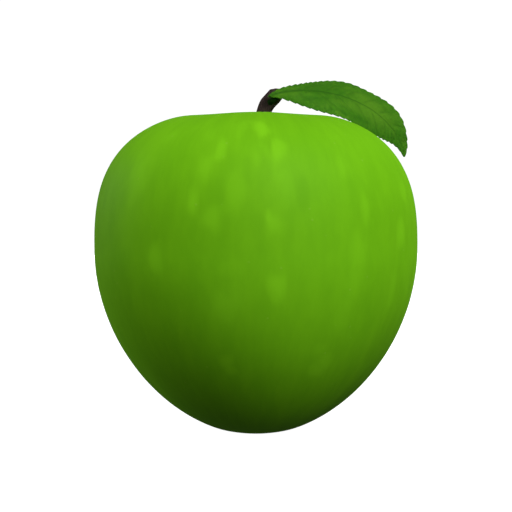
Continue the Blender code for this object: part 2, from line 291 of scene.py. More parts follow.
def along_path(path):
    """Share of the length at each point of a path."""
    steps = np.linalg.norm(np.diff(path, axis=0), axis=1)
    return np.concatenate([[0.0], np.cumsum(steps)]) / steps.sum()


def unit(vectors):
    return vectors / np.linalg.norm(vectors, axis=-1, keepdims=True)


# %% [markdown]
# ## The fruit's shape
#
# An apple isn't a ball. Its widest level, the waist, is above the middle, its crown is full and
# flat, and it narrows towards the base. The stem stands in a deep cavity and the flower's
# remains sit in a small basin. It could be sculpted, but a rule gives the same apple each time:
# a rounded box curve above the waist, a softer one below, a hump taken out of each end, and
# five faint lobes for the five seed chambers inside.

# %% Sizes of the fruit
FRUIT = {
    "Waist Radius": 39.0 * MM,
    "Crown Height": 34.16 * MM,
    "Crown Fullness": 2.80,
    "Base Height": 44.70 * MM,
    "Base Fullness": 1.873,
    "Cavity Depth": 16.0 * MM,
    "Cavity Spread": 9.0 * MM,
    "Basin Depth": 7.5 * MM,
    "Basin Spread": 4.4 * MM,
    "Lobe Turn": math.radians(-18),
    "Rim Radius": 17.0 * MM,
    "Rim Spread": 9.0 * MM,
    "Rim Lobe": 0.12 * MM,
    "Rim Lean": 0.15 * MM,
    "Stand Radius": 7.5 * MM,
    "Stand Lobe": 0.03 * MM,
    "Stand Softness": 0.14 * MM,
    "Shoulder Lobe": 0.006,
    "Ovalness": 0.003,
    "Oval Turn": math.radians(35),
}
LOBES = 5
STAND_TRIM = 0.22 * MM
STEPS_PER_DEGREE = 4


def base_level(down_angle):
    """Height of the base's surface from the waist, at an angle below level."""
    fullness = FRUIT["Base Fullness"]
    across = abs(math.cos(down_angle)) / FRUIT["Waist Radius"]
    downward = abs(math.sin(down_angle)) / FRUIT["Base Height"]
    reach = (across ** fullness + downward ** fullness) ** (-1 / fullness)
    radius = reach * math.cos(down_angle)
    basin = FRUIT["Basin Depth"] * math.exp(-((radius / FRUIT["Basin Spread"]) ** 2))
    from_stand = (radius - FRUIT["Stand Radius"]) / FRUIT["Basin Spread"]
    lobe = FRUIT["Stand Lobe"] * math.exp(-(from_stand ** 2))
    return -reach * math.sin(down_angle) + basin - lobe


steps = range(45 * STEPS_PER_DEGREE, 90 * STEPS_PER_DEGREE)
LOWEST = min(base_level(math.radians(step / STEPS_PER_DEGREE)) for step in steps)
WAIST_LEVEL = -(LOWEST + STAND_TRIM)
FRUIT["Waist Level"] = WAIST_LEVEL
print(f"waist {WAIST_LEVEL / MM:.2f} mm above the surface that the apple stands on")


# %% [markdown]
# ## The rule as Geometry Nodes
#
# A UV sphere brings the right topology: rings from basin to cavity and one closed point at each
# pole. Each of its points is read as two angles, and the rule then says where that point
# belongs. The poles get closer rings, because the cavity and the basin need them.
# The real skin is never perfectly even, so a low noise moves it by hundredths of a millimetre,
# and five short creases run out of the basin. Where the apple stands, its lowest ring is
# flattened softly, so that it touches the surface without an edge.

# %% Fine sizes that only the skin has
SKIN = {
    **FRUIT,
    "Segments": 288,
    "Rings": 236,
    "Pole Crowding": 0.32,
    "Unevenness": 0.16 * MM,
    "Unevenness Scale": 70.0,
    "Even Radius": 16.0 * MM,
    "Uneven Radius": 30.0 * MM,
    "Crease Depth": 0.35 * MM,
    "Crease Radius": 4.6 * MM,
    "Crease Spread": 2.4 * MM,
    "Crease Sharpness": 6.0,
}


# %% The turned shape
def between(tree, first, second, share):
    """From one named size to another as the share goes from 0 to 1."""
    return tree.size(first) + share * (tree.size(second) - tree.size(first))


def profile_nodes(tree, tilt, upper):
    """Radius and height of the plain turned shape at a tilt, before any lobes."""
    fullness = between(tree, "Base Fullness", "Crown Fullness", upper)
    height = between(tree, "Base Height", "Crown Height", upper)
    level = tree.math("COSINE", tilt)
    upright = tree.math("SINE", tilt)
    across = tree.math("ABSOLUTE", level) / tree.size("Waist Radius")
    upward = tree.math("ABSOLUTE", upright) / height
    reach = (across ** fullness + upward ** fullness) ** (-1.0 / fullness)
    radius = reach * level
    cavity = tree.size("Cavity Depth") * tree.hump(radius, tree.size("Cavity Spread"))
    basin = tree.size("Basin Depth") * tree.hump(radius, tree.size("Basin Spread"))
    return radius, reach * upright + (1 - upper) * basin - upper * cavity


def round_axis(tree, radius, angle, height):
    """The place at a radius, an angle round the axis and a height."""
    cosine = tree.math("COSINE", angle)
    sine = tree.math("SINE", angle)
    return tree.vector(radius * cosine, radius * sine, height)


# %% Lobes, creases and unevenness
def skin_nodes(tree):
    """The whole surface, by the rule."""
    values = {"Segments": tree.size("Segments"), "Rings": tree.size("Rings"), "Radius": 1.0}
    ball = tree.node("GeometryNodeMeshUVSphere", values=values)
    x, y, z = tree.coordinates()
    angle = tree.math("ARCTAN2", y, x)
    even_tilt = tree.math("ARCTAN2", z, (x * x + y * y) ** 0.5)
    tilt = even_tilt + tree.size("Pole Crowding") * tree.math("SINE", even_tilt * 2)
    upper = tree.math("GREATER_THAN", tilt, 0.0)
    radius, rise = profile_nodes(tree, tilt, upper)

    lobes = tree.math("COSINE", (angle - tree.size("Lobe Turn")) * LOBES)
    rim = tree.hump(radius - tree.size("Rim Radius"), tree.size("Rim Spread"))
    lean = tree.size("Rim Lean") * tree.math("SINE", angle)
    rise = rise + upper * rim * (tree.size("Rim Lobe") * lobes + lean)
    stand = tree.hump(radius - tree.size("Stand Radius"), tree.size("Basin Spread"))
    rise = rise - (1 - upper) * tree.size("Stand Lobe") * stand * lobes
    crease = tree.hump(radius - tree.size("Crease Radius"), tree.size("Crease Spread"))
    fold = tree.math("MAXIMUM", -lobes, 0.0) ** tree.size("Crease Sharpness")
    rise = rise + (1 - upper) * tree.size("Crease Depth") * crease * fold

    shoulder = tree.math("MAXIMUM", tree.math("SINE", tilt), 0.0)
    oval = tree.math("COSINE", (angle - tree.size("Oval Turn")) * 2)
    place = round_axis(tree, radius, angle, rise)
    low_noise = tree.noise(place, tree.size("Unevenness Scale"), detail=2.0)
    fade = tree.smooth(radius, tree.size("Even Radius"), tree.size("Uneven Radius"))
    uneven = tree.size("Unevenness") * (low_noise - 0.5) * fade
    swell = 1 + tree.size("Shoulder Lobe") * shoulder * lobes + tree.size("Ovalness") * oval
    radius = radius * swell + uneven * tree.math("COSINE", tilt)
    rise = rise + uneven * tree.math("SINE", tilt)

    level = rise + tree.size("Waist Level")
    softness = tree.size("Stand Softness")
    height = (level + (level * level + softness * softness) ** 0.5) * 0.5
    return tree.move(ball, round_axis(tree, radius, angle, height))


# %% [markdown]
# ## The skin's finish
#
# The skin is a waxy yellow-green. Up close it has soft streaks that run from stem to base,
# paler patches a few millimetres wide, tiny pale pores, and some brown russet that runs out of
# the cavity in rays. A photo could be wrapped round it, but that would freeze one light into
# the surface. Noise in the object's own coordinates works from every side, and the patches
# come from a number that is kept on each point of the mesh.

# %% A material as a graph
def new_finish(name):
    """A material with an empty graph."""
    material = bpy.data.materials.new(name)
    material.use_nodes = True
    material.node_tree.nodes.clear()
    return material, Graph(material.node_tree)


def end_finish(graph, values):
    """The shader with its values, and the material's output."""
    shader = graph.node("ShaderNodeBsdfPrincipled", values=values)
    graph.node("ShaderNodeOutputMaterial", values={"Surface": shader})


def mix_colours(graph, share, first, second):
    """From the first colour to the second as the share goes from 0 to 1."""
    first = first if isinstance(first, Socket) else (*first, 1.0)
    second = second if isinstance(second, Socket) else (*second, 1.0)
    settings = {"data_type": "RGBA", "clamp_factor": True}
    return graph.node("ShaderNodeMix", settings, {0: share, 6: first, 7: second}, output=2)


def raised_by(graph, height, distance, under=None):
    """A bump: the height is 0 to 1, and the distance is its depth in metres."""
    values = {"Height": height, "Distance": distance, "Strength": 1.0}
    if under is not None:
        values["Normal"] = under
    return graph.node("ShaderNodeBump", values=values)


def positive(graph, value):
    return graph.math("MAXIMUM", value, 0.0)


# %% Colours of the skin, in linear light
DEEP_GREEN = (0.155, 0.485, 0.0060)
BASE_GREEN = (0.190, 0.560, 0.0075)
PALE_GREEN = (0.235, 0.670, 0.0110)
PORE_GREEN = (0.360, 0.660, 0.0800)
RUSSET = (0.250, 0.270, 0.0550)
# How far the streaks, flecks and broad areas each bring the deep green towards the base green
LEAST_LIGHT = 0.10
STREAK_LIGHT = 0.40
FLECK_LIGHT = 0.36
BROAD_LIGHT = 0.30
PORE_SHARE = 0.20
RUSSET_SHARE = 0.75

# %% Scales of the skin's markings
# In noise units: the radius of the circle round the fruit, and how many lie in each metre
STREAKS_ROUND = 5.0
STREAK_LENGTH = 16.0
FLECKS_ROUND = 13.0
FLECK_LENGTH = 150.0
RAYS_ROUND = 7.0
RAY_LENGTH = 260.0
BROAD_SCALE = 26.0
GRAIN_SCALE = 1500.0
PORE_SCALE = 330.0
PORE_SIZE = (0.12, 0.05)
PORES_KEPT = (0.35, 0.60)
SOFT_LIMITS = (0.32, 0.68)
BROAD_LIMITS = (0.30, 0.70)
RAY_LIMITS = (0.42, 0.66)
RAYS_LEAST = 0.15
RUSSET_RADII = (13 * MM, 5 * MM)
RUSSET_HEIGHTS = (WAIST_LEVEL, WAIST_LEVEL + 12 * MM)
NEXT_TO_AXIS = 0.1 * MM
GRAIN_DEPTH = 0.012 * MM
PORE_DEPTH = 0.02 * MM
RUSSET_DEPTH = 0.05 * MM


# %% The skin as a material
def make_skin_finish():
    material, graph = new_finish("green_skin")
    place = graph.node("ShaderNodeTexCoord", output="Object")
    x, y, z = graph.split(place)
    radius = graph.math("MAXIMUM", (x * x + y * y) ** 0.5, NEXT_TO_AXIS)

    def stretched(circle, along):
        """Coordinates that go round the axis on a circle, and along it at their own scale."""
        return graph.vector(x / radius * circle, y / radius * circle, along)

    ring = stretched(STREAKS_ROUND, z * STREAK_LENGTH)
    streak = graph.mottling(ring, 1.0, detail=4.0, roughness=0.6, limits=SOFT_LIMITS)
    ring = stretched(FLECKS_ROUND, z * FLECK_LENGTH)
    fleck = graph.mottling(ring, 1.0, detail=4.0, roughness=0.6, limits=SOFT_LIMITS)
    broad = graph.mottling(place, BROAD_SCALE, detail=2.0, limits=BROAD_LIMITS)
    light = LEAST_LIGHT + STREAK_LIGHT * streak + BROAD_LIGHT * broad + FLECK_LIGHT * fleck

    values = {"Vector": place, "Scale": PORE_SCALE}
    cells = ("Distance", "Color")
    centre, number = graph.node("ShaderNodeTexVoronoi", {"feature": "F1"}, values, cells)
    chosen = graph.smooth(graph.node("ShaderNodeSeparateColor", values=[number]), *PORES_KEPT)
    pore = graph.smooth(centre, *PORE_SIZE) * chosen

    rays = stretched(RAYS_ROUND, radius * RAY_LENGTH)
    ray = graph.mottling(rays, 1.0, detail=5.0, roughness=0.7, limits=RAY_LIMITS)
    in_cavity = graph.smooth(radius, *RUSSET_RADII) * graph.smooth(z, *RUSSET_HEIGHTS)
    russet = in_cavity * (RAYS_LEAST + (1 - RAYS_LEAST) * ray)

    patch = graph.attribute("patch_tone")
    colour = mix_colours(graph, light, DEEP_GREEN, BASE_GREEN)
    colour = mix_colours(graph, positive(graph, -patch), colour, DEEP_GREEN)
    colour = mix_colours(graph, positive(graph, patch), colour, PALE_GREEN)
    colour = mix_colours(graph, pore * PORE_SHARE, colour, PORE_GREEN)
    colour = mix_colours(graph, russet * RUSSET_SHARE, colour, RUSSET)

    grain = graph.noise(place, GRAIN_SCALE)
    relief = raised_by(graph, grain, GRAIN_DEPTH)
    relief = raised_by(graph, pore, PORE_DEPTH, relief)
    relief = raised_by(graph, russet * ray, RUSSET_DEPTH, relief)
    end_finish(graph, {
        "Base Color": colour,
        "Roughness": 0.55 + 0.06 * grain + 0.25 * russet + 0.10 * pore,
        "Specular IOR Level": 0.05,
        "Normal": relief,
    })
    return material


# %% [markdown]
# ## Make the skin
#
# The fruit's solid has a socket for the stem's foot. On the real apple the flesh closes round
# the stem, so the skin here runs on to the bottom of the cavity and the stem stands in it.
# The lobes and the noise push its middle a little to one side, so it is moved back.

# %% The fruit's skin
skin_tree = PieceTree("apple_skin", SKIN)
skin_tree.close(skin_nodes(skin_tree), make_skin_finish())
apple_skin = skin_tree.make("apple_skin")
skin_points = points_of(apple_skin)
middle = (skin_points[:, :2].max(axis=0) + skin_points[:, :2].min(axis=0)) / 2
skin_points[:, :2] -= middle
apple_skin.data.vertices.foreach_set("co", skin_points.ravel())
apple_skin.data.update()
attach(apple_skin, "root")
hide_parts("fruit")
report_piece(apple_skin, "fruit")


# %% [markdown]
# ## Pale patches on the skin
#
# Where the sun reached through the leaves the skin has soft paler patches, a few millimetres
# wide and longer than they are wide, and between them a few deeper ones. Each is given by
# where it is: its angle in degrees from the front towards the right, its height in millimetres
# above the surface that the apple stands on, its half-sizes across and along, and its tone, from
# -1 for the deepest green to 1 for the palest. The ones that can be seen from the front are
# listed one by one, and the rest of the skin gets others like them from a seeded draw.

# %% Patches that are listed one by one
PALE_PATCHES = (
    (2.7, 71.3, 1.6, 3.5, 0.80),
    (8.0, 65.9, 1.9, 3.9, 0.65),
    (-12, 66.3, 1.2, 2.9, 0.65),
    (-17.8, 62.4, 1.8, 3.0, 0.50),
    (-20.3, 55.3, 1.4, 2.7, 0.70),
    (-13.6, 51.9, 2.1, 2.8, 0.60),
    (-6, 57.6, 2.4, 3.9, 0.32),
    (9.5, 58.2, 1.9, 4.0, 0.32),
    (4.4, 51.0, 1.7, 2.6, 0.60),
    (3.2, 52.2, 0.8, 1.8, 0.40),
    (-34, 43.2, 1.9, 3.7, 0.60),
    (6, 36.8, 1.8, 3.3, 0.80),
    (-10, 33.4, 3.4, 3.3, 0.42),
    (-8, 37.0, 2.0, 2.0, 0.25),
    (-45, 59.6, 3.0, 5.2, 0.40),
    (-48, 50.0, 3.9, 5.0, 0.20),
    (-11, 20.6, 2.0, 2.0, 0.50),
    (-8.5, 18.6, 1.6, 1.4, 0.35),
    (-7, 41.4, 2.8, 2.2, 0.22),
    (34, 44.8, 2.4, 4.0, 0.32),
    (32, 37.5, 1.9, 4.6, 0.28),
    (38, 53.6, 1.2, 5.2, 0.42),
    (56, 49.2, 1.7, 3.3, 0.60),
    (30, 30.0, 1.8, 4.0, 0.25),
    (25, 18.2, 2.0, 2.0, 0.55),
    (28, 20.8, 1.7, 1.9, 0.45),
    (24, 24.0, 2.0, 1.6, 0.25),
    (62, 57.8, 1.9, 2.8, 0.40),
    (52, 35.5, 1.2, 4.5, 0.30),
    (-6.6, 71.0, 1.3, 3.6, 0.28),
    (0.5, 64.3, 1.0, 2.2, 0.28),
    (31, 61.9, 1.3, 2.6, 0.28),
    (-38, 69.0, 1.5, 2.2, 0.28),
    (-19, 69.5, 1.2, 2.6, 0.22),
)
DEEP_PATCHES = (
    (14.5, 56.4, 1.4, 4.6, -0.95),
    (33, 57.6, 0.9, 5.2, -0.55),
    (53, 51.5, 2.6, 2.4, -0.30),
    (-27, 53.3, 1.3, 5.4, -0.50),
    (3, 33.6, 2.5, 3.0, -0.32),
    (0, 49.7, 1.4, 2.8, -0.35),
    (-12, 57.5, 1.6, 2.4, -0.35),
    (-35, 49.1, 1.6, 3.0, -0.30),
    (24, 48.1, 2.3, 4.3, -0.25),
    (-25, 45.0, 1.5, 4.5, -0.35),
    (33, 22.9, 2.1, 2.6, -0.30),
    (-3, 62.2, 0.9, 3.2, -0.40),
    (-22, 62.6, 1.2, 3.4, -0.35),
    (20, 64.0, 1.4, 3.2, -0.25),
    (-37, 36.6, 2.2, 3.4, -0.35),
    (14.7, 65.7, 0.9, 3.6, -0.32),
    (4.4, 67.0, 0.5, 3.0, -0.35),
    (28, 65.3, 1.1, 1.6, -0.25),
    (-26.6, 64.7, 1.2, 1.6, -0.30),
    (-1.2, 53.3, 0.8, 2.6, -0.30),
    (1.3, 45.2, 1.0, 1.4, -0.30),
    (-8, 63.5, 1.0, 2.0, -0.28),
)


# %% The tone that a patch gives
PATCH_CRISPNESS = 1.8
PATCH_WOBBLE = 1.1
PATCH_WOBBLE_SCALE = np.array([420.0, 420.0, 230.0])


def surface_point(points, outside, angle, height):
    """The outer skin's point that is nearest to an angle in degrees and a height in mm."""
    around = np.degrees(np.arctan2(points[:, 0], -points[:, 1]))
    apart = (around - angle + 180) % 360 - 180
    sideways = apart * math.radians(1) * FRUIT["Waist Radius"] / MM
    off = sideways ** 2 + (points[:, 2] / MM - height) ** 2
    return points[np.argmin(np.where(outside, off, np.inf))]


def edge_wobble(points):
    """A factor near 1 at each point, which makes the patches' edges irregular."""
    scaled_points = (points * PATCH_WOBBLE_SCALE).tolist()
    return np.exp(PATCH_WOBBLE * np.array([noise.noise(point) for point in scaled_points]))


def patch_tone_at(points, outside, wobble, patch):
    """The tone that one patch adds at each point."""
    angle, height, half_across, half_along, tone = patch
    centre = surface_point(points, outside, angle, height)
    turn = math.radians(angle)
    sideways = np.array([math.cos(turn), math.sin(turn), 0.0])
    offset = (points - centre) / MM
    across = offset @ sideways
    along = np.sqrt(np.maximum((offset ** 2).sum(axis=1) - across ** 2, 0))
    reach = wobble * ((across / half_across) ** 2 + (along / half_along) ** 2)
    return tone * np.exp(-(reach ** PATCH_CRISPNESS))


# %% Patches for the sides and the back
HIDDEN_PATCHES = 70
PATCH_SEED = 11
VISIBLE_TONE = 0.15


def hidden_patches():
    """Patches from a seeded draw, each with its own place, size and tone."""
    draw = np.random.default_rng(PATCH_SEED)
    patches = []
    for _ in range(HIDDEN_PATCHES):
        patches.append((
            draw.uniform(72, 294),
            draw.uniform(18, 71),
            draw.uniform(1.2, 2.4),
            draw.uniform(2.1, 4.6),
            draw.uniform(0.30, 0.80) * draw.choice((1, 1, -1)),
        ))
    return patches


skin_points = points_of(apple_skin)
skin_radius = np.hypot(skin_points[:, 0], skin_points[:, 1])
outside = (skin_radius > FRUIT["Rim Radius"]) | (skin_points[:, 2] < WAIST_LEVEL)
tone = np.zeros(len(skin_points))
wobble = edge_wobble(skin_points)
for patch in (*PALE_PATCHES, *DEEP_PATCHES, *hidden_patches()):
    tone += patch_tone_at(skin_points, outside, wobble, patch)
add_attribute(apple_skin, "patch_tone", np.clip(tone, -1, 1))
pale_share = np.mean(tone > VISIBLE_TONE)
deep_share = np.mean(tone < -VISIBLE_TONE)
print(f"pale patches cover {pale_share:.0%} of the skin's points, deep ones {deep_share:.0%}")


# %% [markdown]
# ## A shape swept along a path
#
# The stem, the leaf's stalk and the sepals all follow a path. Curve to Mesh could sweep them,
# but it can't turn the last rings level, as they are on a stem that snapped off. So a plain
# cylinder or a thin box is bent instead: each of its points reads its own share of the length,
# and Sample Curve tells where the path is there and how thick the piece should be.

# %% A path that carries its thickness
PATH_POINTS = 60


def raised(path, level):
    """A path moved up by a level."""
    return path + np.array([0.0, 0.0, level])


def make_path(name, path, radii):
    """A poly curve through the path, whose points carry the piece's half-thickness."""
    share = np.linspace(0, 1, PATH_POINTS)
    stations = along_path(path)
    centres = smooth_through(stations, path, share)
    sizes = smooth_through(stations, radii, share)
    curve = bpy.data.curves.new(name, "CURVE")
    curve.dimensions = "3D"
    spline = curve.splines.new("POLY")
    spline.points.add(PATH_POINTS - 1)
    for point, centre, size in zip(spline.points, centres, sizes):
        point.co = (*centre, 1.0)
        point.radius = size
    return new_object(name, curve)


# %% Points bent round the path
BACKWARDS = (0.0, 1.0, 0.0)
UP = (0.0, 0.0, 1.0)


def sampled_path(tree, path, share, level_share=None):
    """The path's centre, thickness, heading and two directions across it, at a share."""
    size, centre, heading = tree.node(
        "GeometryNodeSampleCurve",
        {"use_all_curves": True, "mode": "FACTOR", "data_type": "FLOAT"},
        {"Curves": path, "Value": tree.node("GeometryNodeInputRadius"), "Factor": share},
        output=("Value", "Position", "Tangent"),
    )
    if level_share is not None:
        turned = positive(tree, (share - 1 + level_share) / level_share)
        values = {0: turned, 4: heading, 5: UP}
        heading = tree.node("ShaderNodeMix", {"data_type": "VECTOR"}, values, output=1)
        heading = tree.vector_math("NORMALIZE", heading)
    forward = tree.vector_math("DOT_PRODUCT", BACKWARDS, heading, output=1)
    level = tree.vector_math("SUBTRACT", BACKWARDS, tree.scaled(heading, forward))
    side = tree.vector_math("NORMALIZE", level)
    other = tree.vector_math("CROSS_PRODUCT", heading, side)
    return centre, size, heading, side, other


def within_one(tree, value):
    """The value, kept from 0 to 1."""
    return tree.math("MINIMUM", positive(tree, value), 1.0)


# %% A round rod along a path
WIDE_RIBS = 3
NARROW_RIBS = 5
NARROW_RIB_SHARE = 0.6
RIB_TURN = 1.0
END_STARTS = 0.999
END_DOME = 4.0
END_SPLINTERS = 6


def rod_nodes(tree, level_share=None):
    """A cylinder bent along the carried path, with ribs, bark and a softened far end."""
    sizes = {
        "Vertices": tree.size("Sides"),
        "Side Segments": tree.size("Rings"),
        "Fill Segments": tree.size("End Rings"),
        "Radius": 1.0,
        "Depth": 1.0,
    }
    rod = tree.node("GeometryNodeMeshCylinder", {"fill_type": "TRIANGLE_FAN"}, sizes)
    x, y, z = tree.coordinates()
    share = within_one(tree, z + 0.5)
    turn = tree.math("ARCTAN2", y, x)
    cosine = tree.math("COSINE", turn)
    sine = tree.math("SINE", turn)
    from_axis = (x * x + y * y) ** 0.5
    centre, size, heading, side, other = sampled_path(tree, tree.carried(), share, level_share)
    rib = tree.math("COSINE", turn * WIDE_RIBS + RIB_TURN)
    rib = rib + tree.math("COSINE", turn * NARROW_RIBS) * NARROW_RIB_SHARE
    bark_round = tree.size("Bark Round")
    ring = tree.vector(cosine * bark_round, sine * bark_round, share * tree.size("Bark Along"))
    bark = tree.noise(ring, 1.0, detail=4.0) - 0.5
    reach = size * from_axis * (1 + rib * tree.size("Rib") + bark * tree.size("Bark"))
    at_end = tree.smooth(share, END_STARTS, 1.0)
    dome = at_end * (1 - tree.math("MINIMUM", from_axis, 1.0) ** END_DOME)
    place = tree.added(
        centre,
        tree.scaled(side, reach * cosine),
        tree.scaled(other, reach * sine),
        tree.scaled(heading, dome * tree.size("End Round") * (1 + bark * END_SPLINTERS)),
    )
    return tree.move(rod, place)


# %% [markdown]
# ## The stem
#
# The stem is a thin woody stalk, dark brown with a purple tinge. It comes out of the cavity,
# leans to the right and thickens into the knob where it grew from the twig and snapped off.
# Its bark has fine ridges along its length, so the noise in the rod is stretched that way, and
# the finish repeats them in colour. Its snapped end is a little lighter.

# %% Sizes and path of the stem
STEM_PATH = mm(
    (0.00, 0.00, 14.9),
    (0.00, 0.05, 18.6),
    (0.35, 0.20, 23.4),
    (0.95, 0.15, 29.0),
    (2.06, 0.05, 34.3),
    (2.78, 0.00, 35.8),
    (4.05, 0.00, 37.3),
    (5.60, 0.00, 39.4),
)
STEM_RADII = mm(1.50, 1.50, 1.42, 1.50, 1.80, 1.96, 2.16, 2.16)
STEM_END_LEVEL = 0.30
STEM = {
    "Sides": 72,
    "Rings": 150,
    "End Rings": 10,
    "Rib": 0.05,
    "Bark": 0.16,
    "Bark Round": 2.6,
    "Bark Along": 3.2,
    "End Round": 0.10 * MM,
}

# %% The bark as a material
DARK_BARK = (0.025, 0.0135, 0.0140)
PALE_BARK = (0.064, 0.038, 0.038)
SNAPPED_WOOD = (0.120, 0.078, 0.052)
GRAIN_ACROSS = 1500
GRAIN_ALONG = 220
GRAIN_LIMITS = (0.30, 0.70)
SPOT_SCALE = 900.0
SPOT_LIMITS = (0.55, 0.72)
SPOT_SHARE = 0.25
SNAP_HEIGHTS = (WAIST_LEVEL + 39.22 * MM, WAIST_LEVEL + 39.42 * MM)
SNAP_SHARE = 0.7
BARK_DEPTH = 0.10 * MM


def make_bark_finish():
    material, graph = new_finish("brown_wood")
    place = graph.node("ShaderNodeTexCoord", output="Object")
    x, y, z = graph.split(place)
    fibres = graph.vector(x * GRAIN_ACROSS, y * GRAIN_ACROSS, z * GRAIN_ALONG)
    grain = graph.mottling(fibres, 1.0, detail=5.0, roughness=0.65, limits=GRAIN_LIMITS)
    spots = graph.mottling(place, SPOT_SCALE, limits=SPOT_LIMITS)
    end = graph.smooth(z, *SNAP_HEIGHTS)
    colour = mix_colours(graph, grain, DARK_BARK, PALE_BARK)
    colour = mix_colours(graph, spots * SPOT_SHARE, colour, SNAPPED_WOOD)
    colour = mix_colours(graph, end * SNAP_SHARE, colour, SNAPPED_WOOD)
    end_finish(graph, {
        "Base Color": colour,
        "Roughness": 0.68 + 0.18 * grain,
        "Specular IOR Level": 0.2,
        "Normal": raised_by(graph, grain, BARK_DEPTH),
    })
    return material


# %% Make the stem
stem_tree = PieceTree("apple_stem", STEM)
stem_tree.close(rod_nodes(stem_tree, STEM_END_LEVEL), make_bark_finish())
stem_path = make_path("stem_path", raised(STEM_PATH, WAIST_LEVEL), STEM_RADII)
apple_stem = stem_tree.make("apple_stem", stem_path)
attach(apple_stem, "root")
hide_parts("stem")
report_piece(apple_stem, "stem")


# %% [markdown]
# ## The leaf's blade
#
# An apple leaf is a thin oval blade with a saw-toothed edge. A midrib runs down its middle,
# sunk on the upper face and standing out below, and curved side veins leave it towards the
# edge, with the blade puffed up a little between them. It could be cut from a plane with
# textures for the veins, but then its outline and its relief would be flat. Here the blade
# is a fine grid of points laid along the midrib, so that the teeth, veins and waves are real.

# %% Sizes of the blade
MIDRIB = mm((2.95, -4.0, 37.4), (15.1, -2.2, 41.8), (35.1, 10.6, 37.3), (37.9, 11.0, 23.6))
BLADE_STATIONS = (0.0, 0.07, 0.20, 0.40, 0.60, 0.80, 0.92, 1.0)
NEAR_WIDTHS = mm(0.15, 1.35, 4.4, 7.4, 6.6, 4.3, 1.5, 0.15)
FAR_WIDTHS = mm(0.15, 1.00, 2.3, 7.7, 7.2, 6.1, 2.5, 0.15)
ROLL_STATIONS = (0.0, 0.12, 0.30, 0.55, 0.80, 1.0)
ROLL_DEGREES = (84, 59, 44, 52, 72, 76)
FOLD_DEGREES = (0, 3, 5, 3, 0, 0)
BLADE_ARCH = 0.12
BLADE_THICKNESS = 0.42 * MM
EDGE_THICKNESS = 0.16 * MM
EDGE_WAVE = 0.35 * MM
EDGE_WAVES = 2.6
HALF_COLUMNS = 30
COLUMN_CROWDING = 0.25

# %% Sizes of the teeth and veins
TEETH = 26
TOOTH_DEPTH = 0.32 * MM
TOOTH_RISE = 0.8
TOOTH_ROUNDNESS = 1.2
TOOTH_STEP = 0.8
TOOTH_FADING = 6
FULL_TOOTH_WIDTH = 2 * MM
ROWS_PER_TOOTH = 10
MIDRIB_GROOVE = 0.22 * MM
MIDRIB_RIDGE = 0.45 * MM
MIDRIB_SPREAD = 0.75 * MM
MIDRIB_LINE = 0.34 * MM
MIDRIB_LINE_START = 1.15
VEIN_PAIRS = 9
VEIN_SLANT = 0.62
VEIN_BEND = 0.055
VEIN_BEND_WIDTH = 6 * MM
VEIN_STAGGER = 0.45
VEIN_NARROWING = 0.8
VEIN_START = 0.3 * MM
VEIN_FADE_IN = 1.0 * MM
VEIN_SPREAD = 0.30 * MM
VEIN_DEPTH = 0.13 * MM
VEIN_DEPTH_BELOW = 0.8 * VEIN_DEPTH
SIDE_VEIN_STRENGTH = 0.55
SIDE_VEIN_FADING = 0.5
PUFF_HEIGHT = 0.10 * MM


# %% Curves of the blade
def hump(distance, spread):
    """A soft bump: 1 at no distance, fading over the spread."""
    return np.exp(-(distance / spread) ** 2)


def midrib_curve(share):
    """Points and headings of the midrib, a cubic curve, with heights from the waist."""
    a, b, c, d = MIDRIB
    t = share[:, None]
    points = a * (1 - t) ** 3 + 3 * b * t * (1 - t) ** 2 + 3 * c * t ** 2 * (1 - t) + d * t ** 3
    headings = (b - a) * (1 - t) ** 2 + 2 * (c - b) * t * (1 - t) + (d - c) * t ** 2
    return points, unit(headings)


def tooth_reach(share):
    """How far the edge stands out: a long rise to each tooth's tip, then a quick step back."""
    within = (share * TEETH) % 1.0
    rise = np.sin(np.clip(within / TOOTH_RISE, 0, 1) * math.pi / 2) ** TOOTH_ROUNDNESS
    fall = np.clip((1 - within) / (1 - TOOTH_RISE), 0, 1)
    return rise * fall ** TOOTH_STEP


def vein_pattern(share, lateral, length):
    """Distance in metres to the nearest side vein, and where a point is between two veins."""
    outward = np.abs(lateral)
    run = VEIN_SLANT * outward / length + VEIN_BEND * (outward / VEIN_BEND_WIDTH) ** 2
    stagger = np.where(lateral > 0, 0.0, VEIN_STAGGER)
    phase = (share - run) * VEIN_PAIRS + stagger
    between_veins = phase - np.floor(phase)
    off = np.abs(between_veins - 0.5)
    bulge = np.sin(math.pi * (between_veins + 0.5)) ** 2
    return off / VEIN_PAIRS * length * VEIN_NARROWING, bulge


# %% Points of the blade
def blade_columns():
    """Where the blade's lines of points are, from -1 at the far edge to 1 at the near one."""
    even = np.linspace(0, 1, HALF_COLUMNS + 1)
    crowded = (1 - COLUMN_CROWDING) * even + COLUMN_CROWDING * even ** 2
    return np.concatenate([-crowded[:0:-1], crowded])


